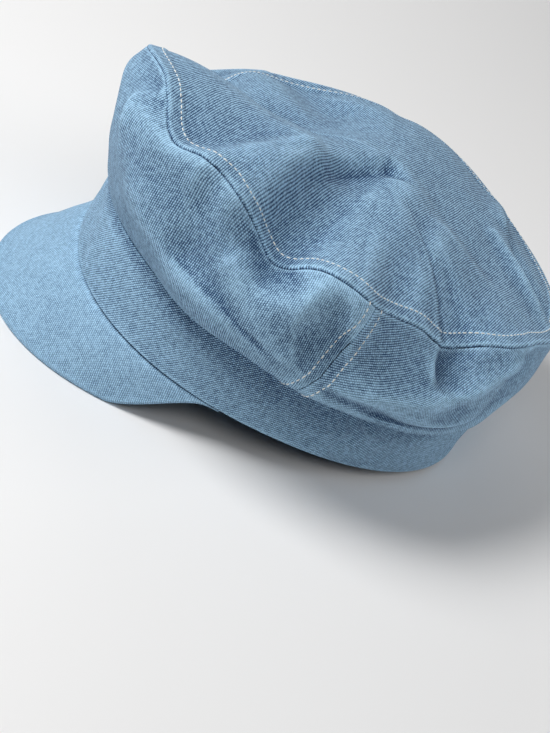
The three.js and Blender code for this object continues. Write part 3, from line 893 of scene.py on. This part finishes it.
def reckon(tree, operation, *values, clamp=False):
    return put(tree, "ShaderNodeMath", dict(enumerate(values)), operation=operation, use_clamp=clamp)[0]


def scaled(tree, value, factor, added=0.0):
    """A value times a factor, with something added."""
    return reckon(tree, "MULTIPLY_ADD", value, factor, added)


def reckon_vector(tree, operation, *values):
    return put(tree, "ShaderNodeVectorMath", dict(enumerate(values)), operation=operation)[0]


def turned_back(tree, vector, angle):
    """A pattern's vector in axes turned by an angle."""
    return put(tree, "ShaderNodeVectorRotate", {"Vector": vector, "Angle": angle}, rotation_type="Z_AXIS",
               invert=True)[0]


def mapped(tree, value, start, end, interpolation="LINEAR"):
    """A value moved from one range to another, each a pair of its ends."""
    inputs = {"Value": value, "From Min": start[0], "From Max": start[1], "To Min": end[0], "To Max": end[1]}
    return put(tree, "ShaderNodeMapRange", inputs, interpolation_type=interpolation)[0]


def humps(tree, run):
    """A wave between 0 and 1 along a run, 0 at each whole number."""
    wave = reckon(tree, "COSINE", scaled(tree, run, 2 * math.pi))
    return scaled(tree, wave, -0.5, 0.5)


def blend_colour(tree, share, first, second):
    return put(tree, "ShaderNodeMix", {0: share, 6: first, 7: second}, data_type="RGBA")[2]


def noise(tree, vector, scale, detail=2.0, roughness=0.5):
    """The value and the colour of a noise."""
    return put(tree, "ShaderNodeTexNoise", {"Vector": vector, "Scale": scale, "Detail": detail,
                                            "Roughness": roughness})


def new_group(name, kind, inputs, outputs):
    """A node group with named inputs and outputs, each with the last word of its socket's type."""
    tree = bpy.data.node_groups.new(name, kind)
    for way, sockets in (("INPUT", inputs), ("OUTPUT", outputs)):
        for label, socket in sockets.items():
            tree.interface.new_socket(label, in_out=way, socket_type="NodeSocket" + socket)
    return tree, tree.nodes.new("NodeGroupInput").outputs, tree.nodes.new("NodeGroupOutput").inputs


def twill_group(name):
    """Denim twill: slanting lines of short yarn segments, uneven in shade, on a pattern in millimetres."""
    tree, start, end = new_group(
        name, "ShaderNodeTree",
        {"Cloth": "Vector", "Grain": "Float", "Pitch": "Float", "Dark yarn": "Color", "Light yarn": "Color",
         "Contrast": "Float", "Fade": "Float"},
        {"Colour": "Color", "Height": "Float", "Roughness": "Float"})
    cloth = start["Cloth"]

    def strayed(vector, scale, reach):
        """The vector moved by a noise that reads the straight pattern."""
        centred = reckon_vector(tree, "SUBTRACT", noise(tree, cloth, scale, 1.0)[1], (0.5, 0.5, 0.5))
        return reckon_vector(tree, "ADD", vector, reckon_vector(tree, "MULTIPLY", centred, (reach,) * 3))

    lined = turned_back(tree, strayed(strayed(cloth, *DRIFT), *JITTER), start["Grain"])
    along, across = put(tree, "ShaderNodeSeparateXYZ", {0: lined})[:2]
    lines = reckon(tree, "DIVIDE", across, start["Pitch"])
    row = reckon(tree, "FLOOR", lines)
    run = reckon(tree, "DIVIDE", along, scaled(tree, start["Pitch"], SEGMENT_LENGTH))
    segments = scaled(tree, row, SEGMENT_STAGGER, run)
    place = put(tree, "ShaderNodeCombineXYZ", {0: reckon(tree, "FLOOR", segments), 1: row})[0]
    chance = put(tree, "ShaderNodeTexWhiteNoise", {"Vector": place}, noise_dimensions="2D")[0]
    beads = scaled(tree, humps(tree, segments), BEAD_DEPTH, BEAD_FLOOR)
    height = scaled(tree, humps(tree, lines), beads)

    # Slubs show as faint streaks along the yarns, which run at an angle to the lines
    yarn = reckon_vector(tree, "MULTIPLY", turned_back(tree, lined, math.radians(YARN_ANGLE)), YARN_STRETCH)
    streak = noise(tree, yarn, 1.0)[0]
    mottle = noise(tree, cloth, MOTTLE_SCALE, **MOTTLE_GRAIN)[0]
    cloud = noise(tree, cloth, CLOUD_SCALE)[0]
    clear = mapped(tree, noise(tree, cloth, CLEAR_SCALE)[0], CLEAR_NOISE, CLEAR_WEAVE)
    shade = scaled(tree, reckon(tree, "SUBTRACT", height, MIDDLE_HEIGHT), clear)
    for source, weight in ((chance, CHANCE_WEIGHT), (streak, STREAK_WEIGHT), (mottle, MOTTLE_WEIGHT),
                           (cloud, CLOUD_WEIGHT)):
        shade = scaled(tree, reckon(tree, "SUBTRACT", source, 0.5), weight, shade)
    shade = scaled(tree, shade, start["Contrast"], start["Fade"])
    shade = reckon(tree, "ADD", shade, 0.5, clamp=True)
    fuzz = noise(tree, cloth, FUZZ_SCALE)[0]
    feed(tree, end["Colour"], blend_colour(tree, shade, start["Dark yarn"], start["Light yarn"]))
    feed(tree, end["Height"], scaled(tree, fuzz, FUZZ_HEIGHT, height))
    feed(tree, end["Roughness"], scaled(tree, shade, PALE_ROUGHNESS, CLOTH_ROUGHNESS))
    return tree


def seam_rubbing_and_groove_shade_group(name):
    """Beside a seam: painted shade darkening the groove, and wear that rubs the edges next to it pale in
    patches.
    """
    tree, start, end = new_group(name, "ShaderNodeTree", {"Seam": "Vector"}, {"Fade": "Float"})
    distance = put(tree, "ShaderNodeSeparateXYZ", {0: start["Seam"]})[1]
    # Painted shade darkens the seam's groove
    near = mapped(tree, distance, (0.0, SEAM_SHADED_GROOVE), (1.0, 0.0), "SMOOTHSTEP")
    off = mapped(tree, distance, (SEAM_SHADED_GROOVE, SEAM_RUBBED_TO), (1.0, 0.0), "SMOOTHSTEP")
    patches = noise(tree, start["Seam"], PATCH_SCALE, **MOTTLE_GRAIN)[0]
    rubbed = scaled(tree, off, mapped(tree, patches, PATCH_NOISE, (0.0, 1.0)))
    feed(tree, end["Fade"], scaled(tree, near, -1.0, rubbed))
    return tree


def shared_group(name, build):
    """The group of a name, built the first time it is asked for."""
    return bpy.data.node_groups.get(name) or build(name)


def new_material(name, constants):
    """A material with some inputs of its shader set, and its tree and the shader's inputs."""
    material = bpy.data.materials.new(name)
    material.use_nodes = True
    inputs = material.node_tree.nodes["Principled BSDF"].inputs
    for key, value in constants.items():
        inputs[key].default_value = value
    return material, material.node_tree, inputs


def cloth_material(name, settings):
    """Washed denim for one piece: twill on its pattern, paled by wear on ridges and beside its seams, and
    darkened as painted shade in hollows, in seam grooves and, on the band, under the crown.
    """
    cloth = next(row for row in CLOTHS if row["name"] == name)
    material, tree, surface = new_material(name, CLOTH_SHINE)
    pattern = put(tree, "ShaderNodeUVMap", uv_map="cloth")[0]
    # This attribute pales ridges by wear and darkens hollows as painted shade; on the band it also holds a
    # painted shadow under the crown
    wear_and_shade = put(tree, "ShaderNodeAttribute", attribute_name="wear_and_shade")["Fac"]
    fade_and_shade = scaled(tree, wear_and_shade, settings.ridge_fade_and_hollow_shade, cloth["pale"])
    for seam in ("top_seam", "side_seam"):
        if cloth[seam]:
            group = shared_group("Seam wear", seam_rubbing_and_groove_shade_group)
            run = put(tree, "ShaderNodeUVMap", uv_map=seam)[0]
            worn = put(tree, "ShaderNodeGroup", {"Seam": run}, node_tree=group)[0]
            fade_and_shade = scaled(tree, worn, cloth[seam], fade_and_shade)
    twill = put(tree, "ShaderNodeGroup", {
        "Cloth": pattern, "Grain": math.radians(cloth["grain"]), "Pitch": settings.twill_pitch / MM,
        "Dark yarn": (*settings.dark_yarn, 1), "Light yarn": (*settings.light_yarn, 1),
        "Contrast": settings.weave_contrast * cloth["contrast"], "Fade": fade_and_shade,
    }, node_tree=shared_group("Denim twill", twill_group))
    bump = put(tree, "ShaderNodeBump", {"Height": twill["Height"], "Distance": settings.weave_depth})
    feed(tree, surface["Base Color"], twill["Colour"])
    feed(tree, surface["Roughness"], twill["Roughness"])
    feed(tree, surface["Normal"], bump[0])
    return material


def both_cloths(label, context):
    """The denim of a piece and the reverse of it."""
    return [cloth_material(face + label, context.scene.cadet_cap_cloth)
            for face in ("Denim of the ", "Reverse of the ")]


def thread_material(settings):
    """Cream sewing thread, a little uneven in tone and in its ply."""
    material, tree, surface = new_material("Cream thread", THREAD_SHINE)
    place = put(tree, "ShaderNodeTexCoord")["Object"]
    tone = noise(tree, place, THREAD_TONE_SCALE)[0]
    dark = (*(THREAD_DARK * part for part in settings.colour), 1)
    ply = noise(tree, place, THREAD_PLY_SCALE, 1.0)[0]
    bump = put(tree, "ShaderNodeBump", {"Height": ply, "Strength": THREAD_PLY_STRENGTH,
                                        "Distance": THREAD_PLY_DEPTH})
    feed(tree, surface["Base Color"], blend_colour(tree, tone, dark, (*settings.colour, 1)))
    feed(tree, surface["Normal"], bump[0])
    return material


def stitch_tree(name):
    """Lays stitches at an even pitch along a path, flat on the cloth beside it."""
    tree, start, end = new_group(
        name, "GeometryNodeTree",
        {"Geometry": "Geometry", "Pitch": "Float", "Length": "Float", "Thickness": "Float", "Arch": "Float",
         "Thread": "Material"},
        {"Geometry": "Geometry"})

    def add(kind, inputs=(), **settings):
        return put(tree, "GeometryNode" + kind, inputs, **settings)[0]

    def aligned(inputs, axis, pivot):
        return put(tree, "FunctionNodeAlignRotationToVector", inputs, axis=axis, pivot_axis=pivot)[0]

    half = scaled(tree, start["Length"], 0.5)
    back = scaled(tree, half, -1.0)
    dip = scaled(tree, start["Arch"], -1.0)
    first, crest, last = (put(tree, "ShaderNodeCombineXYZ", {0: x, 2: z})[0]
                          for x, z in ((back, dip), (0.0, start["Arch"]), (half, dip)))
    bow = add("CurveQuadraticBezier",
              {"Resolution": STITCH_SIDES, "Start": first, "Middle": crest, "End": last})
    swell = reckon(tree, "SINE", scaled(tree, add("SplineParameter"), math.pi))
    width = scaled(tree, swell, 1 - STITCH_TIP, STITCH_TIP)
    radius = scaled(tree, start["Thickness"], 0.5)
    section = add("CurvePrimitiveCircle", {"Resolution": STITCH_SIDES, "Radius": radius})
    body = add("CurveToMesh", {"Curve": bow, "Profile Curve": section, "Scale": width, "Fill Caps": True})

    path = add("MeshToCurve", {0: start["Geometry"]})
    even = add("ResampleCurve", {"Curve": path, "Length": start["Pitch"]}, mode="LENGTH")
    upward = add("InputNamedAttribute", {"Name": "surface_normal"}, data_type="FLOAT_VECTOR")
    along = aligned({"Vector": add("InputTangent")}, "X", "AUTO")
    flat = aligned({"Rotation": along, "Vector": upward}, "Z", "X")
    least, most = STITCH_SPREAD
    spread = put(tree, "FunctionNodeRandomValue", {2: least, 3: most, "Seed": STITCH_SEED},
                 data_type="FLOAT")[1]
    laid = add("InstanceOnPoints", {"Points": even, "Instance": add("SetShadeSmooth", {0: body}),
                                    "Rotation": flat, "Scale": spread})
    real = add("RealizeInstances", {0: laid})
    feed(tree, end["Geometry"], add("SetMaterial", {0: real, "Material": start["Thread"]}))
    return tree


def path_object(paths):
    """A mesh of open or closed lines of points in metres, each point with the normal of the cloth."""
    points, normals, edges = [], [], []
    for line, upward, closed in paths:
        first = len(points)
        points.extend(line.tolist())
        normals.extend(upward.tolist())
        edges.extend((first + k, first + k + 1) for k in range(len(line) - 1))
        if closed:
            edges.append((first + len(line) - 1, first))
    mesh = bpy.data.meshes.new("stitch_path")
    mesh.from_pydata(points, edges, [])
    mark = mesh.attributes.new("surface_normal", "FLOAT_VECTOR", "POINT")
    mark.data.foreach_set("vector", np.array(normals, np.float32).ravel())
    return linked("stitch_path", mesh)


def across_rows(values, distance, wanted):
    """One point on each row of a grid where the row's distance has the wanted value."""
    found = []
    for row, run in zip(values, distance):
        order = np.argsort(run)
        found.append([np.interp(wanted, run[order], row[order, axis]) for axis in range(values.shape[-1])])
    return np.array(found)


def stitch_path(outer, normals, distance, wanted, closed):
    """The line on a grid where the distance has the wanted value, with the cloth's normals along it."""
    line = to_frame(across_rows(outer, distance, wanted))
    return line, tilted(unit(across_rows(normals, distance, wanted))), closed


def stitched(name, paths, settings, thread):
    """Stitches along some paths, as a plain mesh piece."""
    guide = path_object(paths)
    modifier = guide.modifiers.new("stitches", "NODES")
    modifier.node_group = shared_group("Stitches", stitch_tree)
    sockets = {item.name: item.identifier for item in modifier.node_group.interface.items_tree
               if item.item_type == "SOCKET" and item.in_out == "INPUT"}
    for label in ("Pitch", "Length", "Thickness", "Arch"):
        modifier[sockets[label]] = getattr(settings, label.lower())
    modifier[sockets["Thread"]] = thread
    bpy.context.view_layer.update()
    shape = bpy.data.meshes.new_from_object(guide.evaluated_get(bpy.context.evaluated_depsgraph_get()))
    guide.modifiers.remove(modifier)
    bpy.data.objects.remove(guide)
    if not shape.polygons:
        raise RuntimeError(name + " came out empty")
    shape.name = name
    return linked(name, shape)


# The crown's grids are kept between operators, for the rows of stitches that lie on them
grids = {}


def seated(piece, node):
    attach(piece, "root")
    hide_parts(node)


# Settings that a user would change

class CADETCAP_PG_cloth(bpy.types.PropertyGroup):
    dark_yarn: bpy.props.FloatVectorProperty(
        name="Dark yarn", description="Colour of the dyed yarn where it is least washed",
        default=(0.009, 0.043, 0.127), min=0, max=1, size=3, subtype="COLOR")
    light_yarn: bpy.props.FloatVectorProperty(
        name="Light yarn", description="Colour of the pale yarn that shows between the dyed ones",
        default=(0.425, 0.68, 0.90), min=0, max=1, size=3, subtype="COLOR")
    twill_pitch: bpy.props.FloatProperty(
        name="Twill pitch", description="Distance from one slanting line of the twill to the next",
        default=0.00098, min=0.0004, max=0.004, unit="LENGTH", precision=5)
    weave_depth: bpy.props.FloatProperty(
        name="Weave depth", description="Depth of the twill's relief",
        default=0.00022, min=0, max=0.001, unit="LENGTH", precision=5)
    weave_contrast: bpy.props.FloatProperty(
        name="Weave contrast", description="How much lighter the twill's lines are than what lies between",
        default=1.2, min=0, max=3, subtype="FACTOR")
    # Pales ridges by wear and darkens hollows as painted shade
    ridge_fade_and_hollow_shade: bpy.props.FloatProperty(
        name="Ridge fade and hollow shade", description="How much ridges are washed pale and hollows left dark",
        default=0.2, min=0, max=1, subtype="FACTOR")


class CADETCAP_PG_thread(bpy.types.PropertyGroup):
    colour: bpy.props.FloatVectorProperty(
        name="Thread colour", description="Colour of the sewing thread",
        default=(0.93, 0.935, 0.89), min=0, max=1, size=3, subtype="COLOR")
    pitch: bpy.props.FloatProperty(
        name="Stitch pitch", description="Distance from one stitch to the next",
        default=0.0028, min=0.001, max=0.01, unit="LENGTH", precision=4)
    length: bpy.props.FloatProperty(
        name="Stitch length", description="Length of the thread that shows in each stitch",
        default=0.0022, min=0.0005, max=0.01, unit="LENGTH", precision=4)
    thickness: bpy.props.FloatProperty(
        name="Thread thickness", description="Thickness of the sewing thread",
        default=0.00061, min=0.0001, max=0.002, unit="LENGTH", precision=5)
    arch: bpy.props.FloatProperty(
        name="Stitch arch", description="How far a stitch stands over the cloth and dips into it at its ends",
        default=0.0003, min=0, max=0.002, unit="LENGTH", precision=5)
    top_row: bpy.props.FloatProperty(
        name="Top row", description="Distance of the top panel's row of stitches from its seam",
        default=0.0065, min=0.001, max=0.02, unit="LENGTH", precision=4)
    side_row: bpy.props.FloatProperty(
        name="Side rows", description="Distance of the rows of stitches from each side seam",
        default=0.005, min=0.001, max=0.02, unit="LENGTH", precision=4)


class CADETCAP_PG_stage(bpy.types.PropertyGroup):
    floor_colour: bpy.props.FloatVectorProperty(
        name="Floor colour", description="Colour of the plain floor",
        default=(0.86, 0.855, 0.85), min=0, max=1, size=3, subtype="COLOR")
    light_power: bpy.props.FloatProperty(
        name="Light power", description="Power of the strongest of the soft lights",
        default=8.5, min=0, unit="POWER")
    surround: bpy.props.FloatProperty(
        name="Surround", description="Brightness of the even light all round",
        default=0.05, min=0, max=5, subtype="FACTOR")


# Operators, one for each piece or group of like pieces

class CADETCAP_OT_top(bpy.types.Operator):
    """Make the top panel of the crown"""
    bl_idname = "cadet_cap.top"
    bl_label = "Top panel"

    def execute(self, context):
        piece, *grids["top"] = crown_panel_top(both_cloths("top", context))
        seated(piece, "top_panel")
        return {"FINISHED"}


class CADETCAP_OT_sides(bpy.types.Operator):
    """Make the front and back panels of the crown's side"""
    bl_idname = "cadet_cap.sides"
    bl_label = "Side panels"

    def execute(self, context):
        seam = SIDE_SEAM_AZIMUTH
        for node, first, last in (("side_front", -seam, seam), ("side_back", seam, 360 - seam)):
            cloths = both_cloths(node.replace("_", " "), context)
            piece, *grids[node] = crown_panel_side(node + "_cloth", first, last, cloths)
            seated(piece, node)
        return {"FINISHED"}


class CADETCAP_OT_band(bpy.types.Operator):
    """Make the band"""
    bl_idname = "cadet_cap.band"
    bl_label = "Band"

    def execute(self, context):
        seated(band_wall(both_cloths("band", context)), "band")
        return {"FINISHED"}


class CADETCAP_OT_peak(bpy.types.Operator):
    """Make the peak"""
    bl_idname = "cadet_cap.peak"
    bl_label = "Peak"

    def execute(self, context):
        cloth = cloth_material("Denim of the peak", context.scene.cadet_cap_cloth)
        seated(peak_piece(cloth), "peak")
        return {"FINISHED"}


class CADETCAP_OT_stitches(bpy.types.Operator):
    """Sew the rows of stitches beside the crown's seams"""
    bl_idname = "cadet_cap.stitches"
    bl_label = "Stitches"

    def execute(self, context):
        settings = context.scene.cadet_cap_thread
        thread = thread_material(settings)
        top = stitch_path(*grids["top"], settings.top_row / MM, True)
        sides = []
        for node in ("side_front", "side_back"):
            outer, normals, turn = (grid[:, SIDE_STITCH_ROWS].swapaxes(0, 1) for grid in grids[node])
            for distance in (turn, turn[:, -1:] - turn):
                sides.append(stitch_path(outer, normals, distance, settings.side_row / MM, False))
        for name, paths in (("stitches_top", [top]), ("stitches_sides", sides)):
            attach(stitched(name, paths, settings, thread), "root")
        return {"FINISHED"}


class CADETCAP_OT_stage(bpy.types.Operator):
    """Lay the floor and set the lights and the camera"""
    bl_idname = "cadet_cap.stage"
    bl_label = "Stage"

    def execute(self, context):
        settings = context.scene.cadet_cap_stage
        lay_floor(settings)
        set_lights(settings)
        set_camera()
        return {"FINISHED"}


def lay_floor(settings):
    """A large plain floor under the cap."""
    half = FLOOR_HALF
    mesh = bpy.data.meshes.new("floor")
    mesh.from_pydata([(-half, -half, 0), (half, -half, 0), (half, half, 0), (-half, half, 0)], [],
                     [(0, 1, 2, 3)])
    constants = {"Base Color": (*settings.floor_colour, 1), **FLOOR_SHINE}
    mesh.materials.append(new_material("Plain floor", constants)[0])
    linked("floor", mesh)


def set_lights(settings):
    """Soft lights on four sides and an even surround."""
    for name, place, share in SOFT_LIGHTS:
        data = bpy.data.lights.new(name, "AREA")
        data.shape = "DISK"
        data.size = LIGHT_SIZE
        data.energy = settings.light_power * share
        light = linked(name, data)
        light.location = place
        light.rotation_euler = (Vector(LIGHT_TARGET) - Vector(place)).to_track_quat("-Z", "Y").to_euler()
    world = bpy.context.scene.world or bpy.data.worlds.new("Surround")
    bpy.context.scene.world = world
    world.use_nodes = True
    background = world.node_tree.nodes["Background"]
    background.inputs["Color"].default_value = SURROUND_COLOUR
    background.inputs["Strength"].default_value = settings.surround


def set_camera():
    """The camera at the photograph's angle to the cap."""
    data = bpy.data.cameras.new("camera")
    data.lens = CAMERA_LENS
    data.sensor_width = CAMERA_SENSOR
    place = (Vector(CAMERA_PLACE) + Vector((SHIFT_X, SHIFT_Y, 0))) * MM
    forward = (Vector(CAMERA_TARGET) - Vector(CAMERA_PLACE)).normalized()
    level = forward.cross(Vector((0, 0, 1))).normalized()
    upright = level.cross(forward)
    roll = math.radians(CAMERA_ROLL)
    right = level * math.cos(roll) + upright * math.sin(roll)
    up = right.cross(forward)
    axes = Matrix((right, up, -forward)).transposed()
    camera = linked("camera", data)
    camera.matrix_world = Matrix.Translation(place) @ axes.to_4x4()
    bpy.context.scene.camera = camera


OPERATORS = (CADETCAP_OT_top, CADETCAP_OT_sides, CADETCAP_OT_band, CADETCAP_OT_peak, CADETCAP_OT_stitches,
             CADETCAP_OT_stage)


class CADETCAP_PT_panel(bpy.types.Panel):
    """Lists the cap's pieces and their settings"""
    bl_idname = "CADETCAP_PT_panel"
    bl_label = "Cadet cap"
    bl_space_type = "VIEW_3D"
    bl_region_type = "UI"
    bl_category = "Cadet cap"

    def draw(self, context):
        for operator in OPERATORS:
            self.layout.operator(operator.bl_idname)
        for settings in (context.scene.cadet_cap_cloth, context.scene.cadet_cap_thread,
                         context.scene.cadet_cap_stage):
            box = self.layout.box()
            for name in settings.__annotations__:
                box.prop(settings, name)


GROUPS = {"cadet_cap_cloth": CADETCAP_PG_cloth, "cadet_cap_thread": CADETCAP_PG_thread,
          "cadet_cap_stage": CADETCAP_PG_stage}


def register():
    for part in (*GROUPS.values(), *OPERATORS, CADETCAP_PT_panel):
        bpy.utils.register_class(part)
    for name, group in GROUPS.items():
        setattr(bpy.types.Scene, name, bpy.props.PointerProperty(type=group))


def unregister():
    for name in GROUPS:
        delattr(bpy.types.Scene, name)
    for part in reversed((*GROUPS.values(), *OPERATORS, CADETCAP_PT_panel)):
        bpy.utils.unregister_class(part)


def main():
    register()
    bpy.context.scene.view_settings.view_transform = "Standard"
    bpy.ops.cadet_cap.top()
    bpy.ops.cadet_cap.sides()
    bpy.ops.cadet_cap.band()
    bpy.ops.cadet_cap.peak()
    bpy.ops.cadet_cap.stitches()
    bpy.ops.cadet_cap.stage()


if __name__ == "__main__":
    main()
